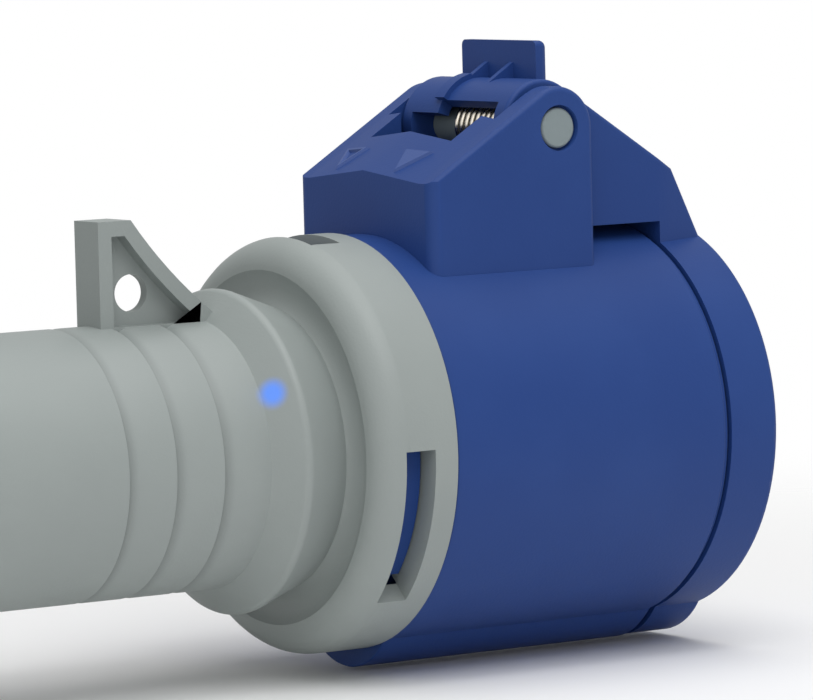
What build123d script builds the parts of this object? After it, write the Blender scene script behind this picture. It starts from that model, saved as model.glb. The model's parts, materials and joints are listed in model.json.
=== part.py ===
from build123d import *
from math import asin, atan2, cos, degrees, hypot, radians, sin, sqrt
import os

os.makedirs("parts", exist_ok=True)

# A splash-proof pin and sleeve connector, 16 A, three poles, for the end of a cable.
# Millimetres. X runs along the axis towards the lid, Z is up towards the lid's hinge.
# The origin is the centre of the front housing's front edge.

# Front housing: sleeve, bulkhead and spigot. Radii are built up from the contact carrier outwards
carrier_r = 18.6
sleeve_room = 6.0
housing_wall = 2.7
lip_step = 0.6
lip_length = 0.9
bore_depth = 38.0
bulkhead_thickness = 3.0
shoulder_setback = 2.4
spigot_wall = 1.6
spigot_length = 8.0

# Keyway rib, which carries on over the lid
rib_r = 11.4
rib_height = 3.0
keyway_width = 8.4
keyway_depth = 3.3
keyway_corner_r = 0.8

# Hinge block and its two ears
pin_x = -17.9
pin_rise = 13.5
pin_r = 2.7
ear_r = 5.5
ear_gap_half = 12.5
block_half_width = 15.9
block_edge_r = 0.8
block_corner_r = 1.8
block_rear_x = -38.8
block_rear_rise = 7.1
block_root = 4.6
block_wall = 2.2
roof_crown = 1.2
roof_crown_half_width = 13.0
window_half_width = 9.5
window_rear_x = -31.0
window_step_x = -26.0
pin_recess = 0.3
pin_chamfer = 0.25
pin_bore_clearance = 0.05
pin_counterbore = 0.35
pin_counterbore_depth = 1.0

# Lid, its arm, knuckle and thumb tab
lid_gap = 0.3
lid_inset = 0.2
lid_depth = 7.9
lid_wall = 2.5
lid_skirt_wall = 3.9
lid_edge_r = 0.9
gasket_width = 1.7
gasket_thickness = 2.2
gasket_inset = 0.1
gasket_fit = 0.05
arm_side_gap = 0.5
arm_front_half_width = 11.1
arm_wall = 1.8
cheek_wall = 2.4
arm_underside_lift = 0.1
arm_heel = 2.4
arm_edge_r = 0.6
arm_foot_gap = 0.1
arm_knee_x = 3.7
arm_knee_rise = 6.9
knuckle_r = 6.4
shell_end_angle = 146.0
shell_long_end_angle = 163.0
shell_step_y = 3.5
bead_start_angle = 100.0
bead_height = 0.7
bead_half_width = 1.1
tab_rear_x = -16.3
tab_thickness = 2.1
tab_half_width = 8.6
tab_foot_rise = 5.5
tab_height = 5.9
tab_corner_r = 0.8
tab_edge_r = 1.1
gusset_y = 2.9
gusset_thickness = 0.9
gusset_tip = 0.5
gusset_foot = 0.8
gusset_start_angle = 113.0
gusset_rise = 3.0

# Hinge spring
wire_r = 0.35
coil_r = 3.3
coil_pitch = 1.17
coil_start_y = 3.9
coil_turns = 10
spring_gap = 0.3
lid_leg_length = 11.0
housing_leg_angle = 310.0

# Rear housing: collar, neck ridge, grooved tail, threaded spout
joint_gap = 0.3
collar_proud = 0.4
collar_wall = 2.9
collar_length = 11.5
collar_corner_r = 4.2
cove_depth = 0.9
neck_r = 18.9
crest_r = 21.7
crest_round = 1.2
crest_setback = 7.4
tail_r = 17.8
cone_length = 3.4
tail_wall = 2.7
tail_length = 42.0
groove_depth = 0.7
groove_slope = 0.75
groove_widths = (2.1, 2.0, 1.8)
groove_setbacks = (5.0, 12.3, 19.6)
spout_r = 15.4
spout_length = 12.0
spout_bore_r = 12.6
gland_seat_depth = 17.0
gland_seat_r = 10.5

# Bayonet: windows in the collar, ledges inside it and lugs on the spigot
bayonet_count = 3
window_width = 4.5
window_setback = 3.5
window_start = 178.0
window_span = 46.0
lug_clearance = 0.2
lug_span = 41.8
lug_play = 0.3
ledge_height = 1.5
spigot_play = 0.3
ledge_setback = 0.6
stop_span = 3.2

# Hanging lug
lug_plate_width = 5.9
lug_web = 1.5
lug_rear_x = -82.0
lug_top_z = 31.4
lug_top_length = 5.0
lug_rim = 2.0
lug_root = 2.2
lug_sag = 0.6
lug_foot_x = -64.9
lug_foot_z = 18.8
lug_hole_r = 2.45
lug_hole_x = -76.0
lug_hole_z = 21.8

# Contact carrier and contacts
carrier_fit = 0.15
carrier_recess = 4.0
carrier_front_wall = 2.2
carrier_front_chamfer = 0.6
flange_fit = 0.2
flange_thickness = 3.0
terminal_block_inset = 1.2
terminal_block_length = 8.0
chamber_fit = 0.15
contact_circle_r = 10.5
pole_pin_r = 2.5
earth_pin_r = 3.5
pin_entry_clearance = 0.3
sleeve_wall = 0.9
sleeve_fit = 0.05
pin_bore_depth = 28.0
terminal_wall = 1.7
terminal_length = 12.0
terminal_recess = 1.0
wire_hole_r = 1.7
wire_hole_depth = 9.0
line_angle = 30.0
neutral_angle = 150.0
earth_angle = 270.0
contact_slot = 0.6
contact_slot_length = 12.0
clip_width = 2.0
clip_thickness = 0.45
clip_setback = 3.0
clip_play = 0.05

# Screws
terminal_screw_r = 1.9
terminal_screw_setback = 4.5
carrier_screw_r = 1.5
carrier_screw_head_r = 2.7
carrier_screw_head = 2.0
carrier_screw_length = 8.0
terminal_screw_length = 5.6
terminal_screw_sink = 0.3
screw_slot = 0.7
screw_slot_depth = 0.9
screw_fit = 0.05
screw_boss_r = 3.0
screw_boss_length = 6.0
screw_boss_cap = 0.8
screw_boss_inset = 0.4

# Indicator board and lamp
board_angle = 152.0
board_offset = 3.0
board_thickness = 1.2
board_width = 9.0
board_overhang = 2.0
lamp_setback = 0.3
rail_length = 6.0
rail_wall = 1.2
rail_grip = 0.8
board_fit = 0.1
lamp_r = 1.5
lamp_length = 4.4
lamp_flange_r = 1.9
lamp_flange = 0.8
lamp_tip_gap = 0.5
lamp_lead = 0.25
lamp_lead_spacing = 1.27

# Seals and gland
seal_thickness = 0.9
seal_gap = 0.1
gland_cable_r = 5.75
gland_fit = 0.1
cage_length = 13.0
cage_wall = 1.0
cage_slots = 8
cage_slot_width = 0.8
cage_slot_length = 9.0
slip_ring_thickness = 1.4
nut_r = 18.2
nut_length = 18.0
nut_gap = 0.4
nut_thread_clearance = 0.3
nut_end_r = 14.5
nut_end_length = 4.0
nut_mouth_r = 8.0
nut_flutes = 14
nut_flute_r = 2.0
nut_flute_depth = 0.7

# Overrun lets a cut or a root pass the face that it meets
overrun = 1.0
root = 0.5

# Radii that follow from the sizes above
bore_r = carrier_r + sleeve_room
housing_r = bore_r + housing_wall
lip_r = housing_r - lip_step
lid_r = housing_r - lid_inset
gasket_inner_r = bore_r - gasket_inset
collar_r = housing_r + collar_proud
collar_bore_r = collar_r - collar_wall
lug_r = collar_bore_r - lug_clearance
ledge_r = collar_bore_r - ledge_height
spigot_r = ledge_r - spigot_play
spigot_inner_r = spigot_r - spigot_wall
flange_r = spigot_inner_r - flange_fit
terminal_block_r = carrier_r - terminal_block_inset
screw_boss_circle_r = carrier_r - screw_boss_inset
tail_bore_r = tail_r - tail_wall

# Places that follow from the sizes above
lip_x = lip_length
bulkhead_front_x = -bore_depth
bulkhead_rear_x = bulkhead_front_x - bulkhead_thickness
housing_rear_x = bulkhead_rear_x - shoulder_setback
spigot_end_x = housing_rear_x - spigot_length
collar_front_x = housing_rear_x - joint_gap
shoulder_x = collar_front_x - collar_length
shoulder_inner_x = spigot_end_x - seal_thickness - seal_gap
crest_x = shoulder_x - crest_setback
tail_start_x = crest_x - cone_length
tail_end_x = tail_start_x - tail_length
spout_end_x = tail_end_x - spout_length
gland_seat_x = spout_end_x + gland_seat_depth
window_front_x = collar_front_x - window_setback
window_rear_edge_x = window_front_x - window_width
lid_rear_x = lip_x + lid_gap
lid_front_x = lid_rear_x + lid_depth
carrier_front_x = -carrier_recess
flange_rear_x = bulkhead_rear_x - flange_thickness
terminal_block_rear_x = flange_rear_x - terminal_block_length
rib_centre_z = rib_r - rib_height - housing_r
pin_z = housing_r + pin_rise
block_rear_top_z = housing_r + block_rear_rise
block_base_z = bore_r - block_root
arm_half_width = ear_gap_half - arm_side_gap
arm_underside_z = lid_r + arm_underside_lift
arm_knee_z = housing_r + arm_knee_rise
tab_foot_z = pin_z + tab_foot_rise
tab_top_z = tab_foot_z + tab_height


def polar(radius, angle):
    """Point on a circle in the cross section, from +Y towards +Z."""
    return (radius * cos(radians(angle)), radius * sin(radians(angle)))


def around_pin(radius, angle):
    """Point around the hinge pin in the side view, from +X towards +Z."""
    return (pin_x + radius * cos(radians(angle)), pin_z + radius * sin(radians(angle)))


def slice_face(inner_r, outer_r, start, span, place=polar):
    """Slice of a ring, as a flat sketch."""
    angles = [start, start + span / 2, start + span]
    outer = [place(outer_r, a) for a in angles]
    inner = [place(inner_r, a) for a in angles]
    with BuildSketch() as face:
        with BuildLine():
            ThreePointArc(*outer)
            Line(outer[2], inner[2])
            ThreePointArc(inner[2], inner[1], inner[0])
            Line(inner[0], outer[0])
        make_face()
    return face.sketch


def ring(x_rear, x_front, inner_r, outer_r):
    """Plain ring on the axis."""
    with BuildPart() as body:
        with BuildSketch(Plane.YZ.offset(x_rear)):
            Circle(outer_r)
            Circle(inner_r, mode=Mode.SUBTRACT)
        extrude(amount=x_front - x_rear)
    return body.part


def touch_direction(x, z, radius, side):
    """Direction in degrees of the line from a point that touches a circle around the pin."""
    distance = hypot(pin_x - x, pin_z - z)
    return degrees(atan2(pin_z - z, pin_x - x) + side * asin(radius / distance))


# Hinge block: hollow, under a crowned slope, with a window between two ears
slope = touch_direction(block_rear_x, block_rear_top_z, ear_r, 1)
slope_dir = Vector(cos(radians(slope)), 0, sin(radians(slope)))
block_front_x = pin_x + ear_r
block_height = pin_z + ear_r - block_base_z
knuckle_inner_r = knuckle_r - arm_wall


def slope_point(x, rise):
    """Point at x in the side view, a height above the slope's flat edge line."""
    base = block_rear_top_z + (x - block_rear_x) * slope_dir.Z / slope_dir.X
    return (x, base + rise / slope_dir.X)


def hinge_block():
    slope_length = (around_pin(ear_r, 90 + slope)[0] - block_rear_x) / slope_dir.X
    with BuildPart() as block:
        with BuildSketch(Plane.XZ):
            with BuildLine():
                Polyline(
                    (block_rear_x, block_base_z),
                    slope_point(block_rear_x, roof_crown),
                    around_pin(ear_r + roof_crown, 90 + slope),
                    around_pin(ear_r, 90 + slope),
                    (pin_x, pin_z),
                    (block_front_x, pin_z),
                    (block_front_x, block_base_z),
                    close=True,
                )
            make_face()
            with Locations((pin_x, pin_z)):
                Circle(ear_r)
        extrude(amount=block_half_width, both=True)
        outer_edges = block.edges().filter_by(
            lambda e: abs(e.center().Y) > block_half_width - 0.1
            and e.center().X > pin_x - ear_r / 2
            and e.center().Z > block_base_z
        )
        fillet(outer_edges, radius=block_edge_r)
        rear_corners = block.edges().filter_by(
            lambda e: e.center().X < block_rear_x + 0.1 and abs(e.center().Y) > block_half_width - 1
        )
        fillet(rear_corners, radius=block_corner_r)
        # The slope is crowned along its middle and rounded along its sides
        roof_start = Vector(block_rear_x, 0, block_rear_top_z) - slope_dir * block_half_width
        edge = block_edge_r
        dip = edge * (1 - sqrt(0.5))
        with BuildSketch(Plane(roof_start, x_dir=(0, 1, 0), z_dir=slope_dir)):
            for turn in (-1, 1):
                with BuildLine():
                    Polyline(
                        (0, 2 * edge + roof_crown),
                        (0, roof_crown),
                        (turn * roof_crown_half_width, 0),
                        (turn * (block_half_width - edge), 0),
                    )
                    ThreePointArc(
                        (turn * (block_half_width - edge), 0),
                        (turn * (block_half_width - dip), -dip),
                        (turn * block_half_width, -edge),
                    )
                    Polyline(
                        (turn * block_half_width, -edge),
                        (turn * (block_half_width + edge), -edge),
                        (turn * (block_half_width + edge), 2 * edge + roof_crown),
                        (0, 2 * edge + roof_crown),
                    )
                make_face()
        extrude(amount=slope_length + block_half_width, mode=Mode.SUBTRACT)
        # Hollow under the slope, open to the front between the ears
        with BuildSketch(Plane.XZ):
            with BuildLine():
                Polyline(
                    (block_rear_x + block_wall, block_base_z),
                    slope_point(block_rear_x + block_wall, -block_wall),
                    slope_point(window_step_x, -block_wall),
                    (window_step_x, pin_z + block_height),
                    (block_front_x + overrun, pin_z + block_height),
                    (block_front_x + overrun, block_base_z),
                    close=True,
                )
            make_face()
        extrude(amount=ear_gap_half, both=True, mode=Mode.SUBTRACT)
        with BuildSketch(Plane.XY.offset(block_base_z)):
            with Locations(((window_rear_x + window_step_x) / 2, 0)):
                Rectangle(window_step_x - window_rear_x, 2 * window_half_width)
        extrude(amount=2 * block_height, mode=Mode.SUBTRACT)
        # Pin bore, with a shallow counterbore at each ear's outer face
        with BuildSketch(Plane.XZ.offset(-block_half_width)):
            with Locations((pin_x, pin_z)):
                Circle(pin_r + pin_bore_clearance)
        extrude(amount=2 * block_half_width, mode=Mode.SUBTRACT)
        for side in (-1, 1):
            face_y = side * (block_half_width - pin_counterbore_depth)
            with BuildSketch(Plane.XZ.offset(-face_y)):
                with Locations((pin_x, pin_z)):
                    Circle(pin_r + pin_counterbore)
            extrude(amount=-side * (pin_counterbore_depth + overrun), mode=Mode.SUBTRACT)
        # The block ends on the housing's outer wall
        with BuildSketch(Plane.YZ.offset(block_rear_x)):
            Circle(housing_r)
        extrude(amount=block_front_x - block_rear_x, mode=Mode.SUBTRACT)
    return block.part


block_part = hinge_block()
block_part.label = "hinge_block"
export_step(block_part, "parts/hinge_block.step")


def screw_places(plane_x):
    """Where the two carrier screws stand, at both sides of the carrier."""
    plane = Plane.YZ.offset(plane_x)
    spots = [polar(screw_boss_circle_r, angle) for angle in (0, 180)]
    return plane, spots


def front_housing_part():
    """Round sleeve with the keyway, from the shoulder to the lip."""
    with BuildPart() as body:
        with BuildSketch(Plane.XZ):
            with BuildLine():
                Polyline(
                    (lip_x, bore_r),
                    (lip_x, lip_r),
                    (0, lip_r),
                    (0, housing_r),
                    (housing_rear_x, housing_r),
                    (housing_rear_x, bore_r),
                    close=True,
                )
            make_face()
        revolve(axis=Axis.X)
        # Keyway rib, outside
        with BuildSketch(Plane.YZ.offset(housing_rear_x)):
            with Locations((0, rib_centre_z)):
                Circle(rib_r)
            Circle((bore_r + housing_r) / 2, mode=Mode.SUBTRACT)
        extrude(amount=-housing_rear_x)
        with BuildSketch(Plane.YZ):
            with Locations((0, rib_centre_z)):
                Circle(rib_r - housing_r + lip_r)
            Circle((bore_r + lip_r) / 2, mode=Mode.SUBTRACT)
        extrude(amount=lip_length)
        # Keyway groove, inside
        with BuildSketch(Plane.YZ.offset(bulkhead_front_x)):
            with Locations((0, -bore_r - keyway_depth / 2 + overrun)):
                RectangleRounded(keyway_width, keyway_depth + 2 * overrun, keyway_corner_r)
        extrude(amount=lip_x - bulkhead_front_x, mode=Mode.SUBTRACT)
    return body.part


front_housing = front_housing_part()
front_housing.label = "front_housing"
export_step(front_housing, "parts/front_housing.step")


def bayonet_spigot_part():
    """Bulkhead at the sleeve's end, with the carrier's bosses and the spigot behind it."""
    with BuildPart() as body:
        with BuildSketch(Plane.XZ):
            with BuildLine():
                Polyline(
                    (bulkhead_front_x, bore_r),
                    (housing_rear_x, bore_r),
                    (housing_rear_x, spigot_r),
                    (spigot_end_x, spigot_r),
                    (spigot_end_x, spigot_inner_r),
                    (bulkhead_rear_x, spigot_inner_r),
                    (bulkhead_rear_x, carrier_r + carrier_fit),
                    (bulkhead_front_x, carrier_r + carrier_fit),
                    close=True,
                )
            make_face()
        revolve(axis=Axis.X)
        # Screw bosses for the carrier
        plane, spots = screw_places(bulkhead_rear_x)
        with BuildSketch(plane):
            with Locations(*spots):
                Circle(screw_boss_r)
        extrude(amount=screw_boss_length)
        with BuildSketch(plane):
            with Locations(*spots):
                Circle(carrier_screw_r)
        extrude(amount=screw_boss_length - screw_boss_cap, mode=Mode.SUBTRACT)
        # Bayonet lugs on the spigot
        lug_front_x = window_front_x - lug_play
        lug_rear_face_x = spigot_end_x + lug_play
        for k in range(bayonet_count):
            with BuildSketch(Plane.YZ.offset(lug_rear_face_x)):
                start = window_start + lug_play + k * 360 / bayonet_count
                add(slice_face(spigot_r - root, lug_r, start, lug_span))
            extrude(amount=lug_front_x - lug_rear_face_x)
    return body.part


bayonet_spigot = bayonet_spigot_part()
bayonet_spigot.label = "bayonet_spigot"
export_step(bayonet_spigot, "parts/bayonet_spigot.step")


def lid_arm():
    """Hollow arm from the knuckle down to the lid's skirt, with the thumb tab."""
    rim_z = sqrt(lid_r ** 2 - arm_front_half_width ** 2)
    foot_x = lid_front_x - arm_foot_gap
    touch = touch_direction(arm_knee_x, arm_knee_z, knuckle_r, -1) - 90
    low_touch = touch_direction(pin_x + arm_heel, arm_underside_z, knuckle_r, 1) + 90
    inner_half = arm_half_width - cheek_wall
    rear_x = pin_x - 2 * knuckle_r
    tab_front_x = tab_rear_x + tab_thickness
    with BuildSketch() as outline:
        with BuildLine():
            Polyline(
                around_pin(knuckle_r, touch),
                (arm_knee_x, arm_knee_z),
                (foot_x, rim_z - lid_edge_r),
                (foot_x, rim_z - lid_skirt_wall / 2),
                (lid_rear_x, rim_z - lid_skirt_wall / 2),
                (lid_rear_x, arm_underside_z),
                (pin_x + arm_heel, arm_underside_z),
                around_pin(knuckle_r, low_touch),
                (pin_x, pin_z),
                close=True,
            )
        make_face()
        with Locations((pin_x, pin_z)):
            Circle(knuckle_r)
    with BuildPart() as arm:
        with BuildSketch(Plane.XZ.offset(-arm_half_width)):
            add(outline.sketch)
        extrude(amount=2 * arm_half_width)
        with BuildSketch(Plane.XY.offset(block_base_z)):
            with BuildLine():
                Polyline(
                    (rear_x, -arm_half_width),
                    (lid_rear_x, -arm_half_width),
                    (lid_front_x, -arm_front_half_width),
                    (lid_front_x, arm_front_half_width),
                    (lid_rear_x, arm_half_width),
                    (rear_x, arm_half_width),
                    close=True,
                )
            make_face()
        extrude(amount=2 * block_height, mode=Mode.INTERSECT)
        long_edges = arm.edges().filter_by(
            lambda e: abs(e.center().Y) > inner_half
            and e.center().Z > rim_z + overrun
            and e.bounding_box().size.X > overrun
            and abs(e.center().Z - arm_underside_z) > 0.1
        )
        fillet(long_edges, radius=arm_edge_r)
        # Hollow, and open underneath and behind
        with BuildSketch(Plane.XZ):
            add(outline.sketch)
            offset(amount=-arm_wall, kind=Kind.INTERSECTION, mode=Mode.REPLACE)
            with BuildLine():
                Polyline(
                    (rear_x, block_base_z),
                    (lid_rear_x, block_base_z),
                    (lid_rear_x, arm_underside_z + 2 * arm_wall),
                    (pin_x, pin_z),
                    (rear_x, pin_z),
                    close=True,
                )
            make_face()
        extrude(amount=inner_half, both=True, mode=Mode.SUBTRACT)
        # The shell over the pin reaches lower beyond the step
        for start_y, end_y, angle in (
            (-inner_half, shell_step_y, shell_end_angle),
            (shell_step_y, inner_half, shell_long_end_angle),
        ):
            with BuildSketch(Plane.XZ.offset(-start_y)):
                add(slice_face(knuckle_inner_r - overrun, 2 * knuckle_r, angle, 90, place=around_pin))
            extrude(amount=start_y - end_y, mode=Mode.SUBTRACT)
        with BuildSketch(Plane.XZ.offset(-shell_step_y)):
            span = shell_end_angle - bead_start_angle
            bead = slice_face(knuckle_r - root, knuckle_r + bead_height, bead_start_angle, span, around_pin)
            add(bead)
        extrude(amount=bead_half_width, both=True)
        # Thumb tab
        with BuildSketch(Plane.YZ.offset(tab_rear_x)):
            with Locations((0, (tab_foot_z + tab_top_z) / 2)):
                tab_face = Rectangle(2 * tab_half_width, tab_top_z - tab_foot_z)
            fillet(tab_face.vertices().group_by(Axis.Y)[-1], radius=tab_corner_r)
        extrude(amount=tab_thickness)
        top_front = arm.edges().filter_by(
            lambda e: e.center().Z > tab_top_z - 0.1 and e.center().X > tab_front_x - 0.1
        )
        fillet(top_front, radius=tab_edge_r)
        for side in (-1, 1):
            with BuildSketch(Plane.XZ.offset(-side * gusset_y)):
                with BuildLine():
                    Polyline(
                        (tab_rear_x + gusset_tip, tab_foot_z),
                        (tab_rear_x + gusset_tip, tab_foot_z + gusset_rise),
                        (tab_rear_x, tab_foot_z + gusset_rise),
                        around_pin(knuckle_r, gusset_start_angle),
                        around_pin(knuckle_r - gusset_foot, gusset_start_angle),
                        close=True,
                    )
                make_face()
            extrude(amount=gusset_thickness / 2, both=True)
        # Pin bore through both cheeks
        with BuildSketch(Plane.XZ.offset(-arm_half_width)):
            with Locations((pin_x, pin_z)):
                Circle(pin_r + pin_bore_clearance)
        extrude(amount=2 * arm_half_width, mode=Mode.SUBTRACT)
    return arm.part


def lid_part():
    arm = lid_arm()
    gasket_outer_r = gasket_inner_r + gasket_width
    inner_r = lid_r - lid_skirt_wall
    with BuildPart() as body:
        with BuildSketch(Plane.YZ.offset(lid_rear_x)):
            Circle(lid_r)
            with Locations((0, rib_centre_z)):
                Circle(rib_r - housing_r + lid_r)
        extrude(amount=lid_depth)
        rim = body.edges().filter_by(lambda e: e.center().X > lid_front_x - 0.01)
        fillet(rim, radius=lid_edge_r)
        add(arm)
        # Dished inside, with a groove for the gasket
        with BuildSketch(Plane.YZ.offset(lid_rear_x)):
            Circle(inner_r)
        extrude(amount=lid_depth - lid_wall, mode=Mode.SUBTRACT)
        with BuildSketch(Plane.YZ.offset(lid_rear_x)):
            Circle(gasket_outer_r + gasket_fit)
            Circle(gasket_inner_r - gasket_fit, mode=Mode.SUBTRACT)
        extrude(amount=gasket_thickness, mode=Mode.SUBTRACT)
    return body.part


lid = lid_part()
lid.label = "lid"
export_step(lid, "parts/lid.step")


lid_gasket = ring(lid_rear_x, lid_rear_x + gasket_thickness, gasket_inner_r, gasket_inner_r + gasket_width)
lid_gasket.label = "lid_gasket"
export_step(lid_gasket, "parts/lid_gasket.step")


def hinge_pin_part():
    half_length = block_half_width - pin_recess
    with BuildPart() as pin:
        with BuildSketch(Plane.XZ.offset(-half_length)):
            with Locations((pin_x, pin_z)):
                Circle(pin_r)
        extrude(amount=2 * half_length)
        chamfer(pin.edges().filter_by(GeomType.CIRCLE), length=pin_chamfer)
    return pin.part


hinge_pin = hinge_pin_part()
hinge_pin.label = "hinge_pin"
export_step(hinge_pin, "parts/hinge_pin.step")


def hinge_spring_part():
    """Torsion coil on the pin, with one leg down to the housing and one under the lid's arm."""
    roof_angle = touch_direction(arm_knee_x, arm_knee_z, knuckle_r, -1) - 90
    turns = coil_turns + (housing_leg_angle - 90 - roof_angle) / 360
    helix = Helix(
        pitch=coil_pitch,
        height=coil_pitch * turns,
        radius=coil_r,
        center=(pin_x, coil_start_y, pin_z),
        direction=(0, -1, 0),
        mode=Mode.PRIVATE,
    )
    # The helix comes with its first point straight below the pin, and is turned to start at the roof
    coil = helix.rotate(Axis((pin_x, 0, pin_z), (0, -1, 0)), roof_angle - 270)
    with BuildPart() as spring:
        with BuildLine():
            add(coil)
        with BuildSketch(Plane(coil @ 0, z_dir=coil % 0)):
            RegularPolygon(radius=wire_r, side_count=8)
        sweep(is_frenet=True)
        lid_leg = Vector(*polar(1, roof_angle - 90))
        with BuildSketch(Plane(coil @ 0, z_dir=(lid_leg.X, 0, lid_leg.Y))):
            Circle(wire_r)
        extrude(amount=lid_leg_length)
        end = coil @ 1
        housing_leg = Vector(*polar(1, housing_leg_angle))
        leg_end_z = sqrt(housing_r ** 2 - end.Y ** 2) + spring_gap
        with BuildSketch(Plane(end, z_dir=(housing_leg.X, 0, housing_leg.Y))):
            Circle(wire_r)
        extrude(amount=(leg_end_z - end.Z) / housing_leg.Y)
    return spring.part


hinge_spring = hinge_spring_part()
hinge_spring.label = "hinge_spring"
export_step(hinge_spring, "parts/hinge_spring.step")


def lug_outline():
    """Side view of the hanging lug, with its foot inside the tail's wall."""
    foot = (lug_foot_x, lug_foot_z)
    top_front = (lug_rear_x + lug_top_length, lug_top_z)
    chord = Vector(foot[0] - top_front[0], foot[1] - top_front[1])
    sag = Vector(chord.Y, -chord.X).normalized() * lug_sag
    base_z = tail_r - lug_root
    with BuildSketch() as outline:
        with BuildLine():
            Polyline(foot, (lug_foot_x, base_z), (lug_rear_x, base_z), (lug_rear_x, lug_top_z), top_front)
            ThreePointArc(
                top_front,
                (top_front[0] + chord.X / 2 + sag.X, top_front[1] + chord.Y / 2 + sag.Y),
                foot,
            )
        make_face()
    return outline.sketch


def rear_housing_part():
    outline = lug_outline()
    corner = collar_corner_r
    bend = corner * sqrt(0.5)
    neck_bore_r = neck_r - tail_wall
    window_starts = [window_start + k * 360 / bayonet_count for k in range(bayonet_count)]
    with BuildPart() as body:
        with BuildSketch(Plane.XZ):
            with BuildLine():
                Polyline(
                    (shoulder_inner_x, collar_bore_r),
                    (collar_front_x, collar_bore_r),
                    (collar_front_x, collar_r),
                    (shoulder_x + corner, collar_r),
                )
                ThreePointArc(
                    (shoulder_x + corner, collar_r),
                    (shoulder_x + corner - bend, collar_r - corner + bend),
                    (shoulder_x, collar_r - corner),
                )
                ThreePointArc(
                    (shoulder_x, collar_r - corner),
                    (shoulder_x + cove_depth, (collar_r - corner + neck_r) / 2),
                    (shoulder_x, neck_r),
                )
                Polyline((shoulder_x, neck_r), (crest_x, crest_r), (tail_start_x, tail_r))
                groove_start = (tail_start_x, tail_r)
                for setback, width in zip(groove_setbacks, groove_widths):
                    front_x = tail_start_x - setback
                    groove_end = (front_x - width, tail_r)
                    Polyline(
                        groove_start,
                        (front_x, tail_r),
                        (front_x - groove_slope * width, tail_r - groove_depth),
                        (front_x - width, tail_r - groove_depth),
                        groove_end,
                    )
                    groove_start = groove_end
                Polyline(
                    groove_start,
                    (tail_end_x + nut_gap, tail_r),
                    (tail_end_x, tail_r - nut_gap),
                    (tail_end_x, spout_r),
                    (spout_end_x, spout_r),
                    (spout_end_x, spout_bore_r),
                    (gland_seat_x, spout_bore_r),
                    (gland_seat_x, gland_seat_r),
                    (gland_seat_x + tail_wall, gland_seat_r),
                    (gland_seat_x + 2 * tail_wall, tail_bore_r),
                    (tail_start_x, tail_bore_r),
                    (shoulder_x, neck_bore_r),
                    (shoulder_inner_x, neck_bore_r),
                    (shoulder_inner_x, collar_bore_r),
                )
            profile = make_face()
            crest = profile.vertices().sort_by_distance((crest_x, crest_r))[0]
            fillet(crest, radius=crest_round)
        revolve(axis=Axis.X)
        # Windows, with a ledge in front of each and a stop beside it
        with BuildSketch(Plane.YZ.offset(window_rear_edge_x)):
            for start in window_starts:
                add(slice_face(collar_bore_r - overrun, collar_r + overrun, start, window_span))
        extrude(amount=window_width, mode=Mode.SUBTRACT)
        with BuildSketch(Plane.YZ.offset(window_front_x)):
            for start in window_starts:
                add(slice_face(ledge_r, collar_bore_r + root, start, window_span))
        extrude(amount=window_setback - ledge_setback)
        with BuildSketch(Plane.YZ.offset(window_rear_edge_x)):
            for start in window_starts:
                add(slice_face(ledge_r, collar_bore_r + root, start - stop_span, stop_span))
        extrude(amount=window_width + window_setback - ledge_setback)
        # Hanging lug: a rimmed plate with a thin web
        with BuildSketch(Plane.XZ.offset(-lug_plate_width / 2)):
            add(outline)
        extrude(amount=lug_plate_width)
        for side in (-1, 1):
            with BuildSketch(Plane.XZ.offset(side * lug_web / 2)):
                add(outline)
                offset(amount=-lug_rim, kind=Kind.INTERSECTION, mode=Mode.REPLACE)
            extrude(amount=side * lug_plate_width, mode=Mode.SUBTRACT)
        with BuildSketch(Plane.XZ.offset(-lug_plate_width / 2)):
            with Locations((lug_hole_x, lug_hole_z)):
                Circle(lug_hole_r)
        extrude(amount=lug_plate_width, mode=Mode.SUBTRACT)
    return body.part


rear_housing = rear_housing_part()
rear_housing.label = "rear_housing"
export_step(rear_housing, "parts/rear_housing.step")


housing_seal = ring(shoulder_inner_x + seal_gap, spigot_end_x, spigot_inner_r + seal_gap, ledge_r - seal_gap)
housing_seal.label = "housing_seal"
export_step(housing_seal, "parts/housing_seal.step")


# Contacts: turned brass, a slotted sleeve in front and a screw terminal behind
contacts = {
    "line": (pole_pin_r, line_angle),
    "neutral": (pole_pin_r, neutral_angle),
    "earth": (earth_pin_r, earth_angle),
}
contact_front_x = carrier_front_x - carrier_front_wall
terminal_rear_x = terminal_block_rear_x + terminal_recess
terminal_front_x = terminal_rear_x + terminal_length
terminal_screw_x = terminal_rear_x + terminal_screw_setback


def contact_sizes(contact_pin_r):
    """Sleeve radius and terminal radius for a pin."""
    return contact_pin_r + sleeve_fit + sleeve_wall, contact_pin_r + terminal_wall


def contact_plane(x, angle):
    """Plane across a contact's axis."""
    return Plane((x, *polar(contact_circle_r, angle)), x_dir=(0, *polar(1, angle)), z_dir=(1, 0, 0))


def screw_plane(radius, angle):
    """Plane across a terminal screw's axis, facing away from the connector's axis."""
    return Plane((terminal_screw_x, *polar(radius, angle)), x_dir=(1, 0, 0), z_dir=(0, *polar(1, angle)))


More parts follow.
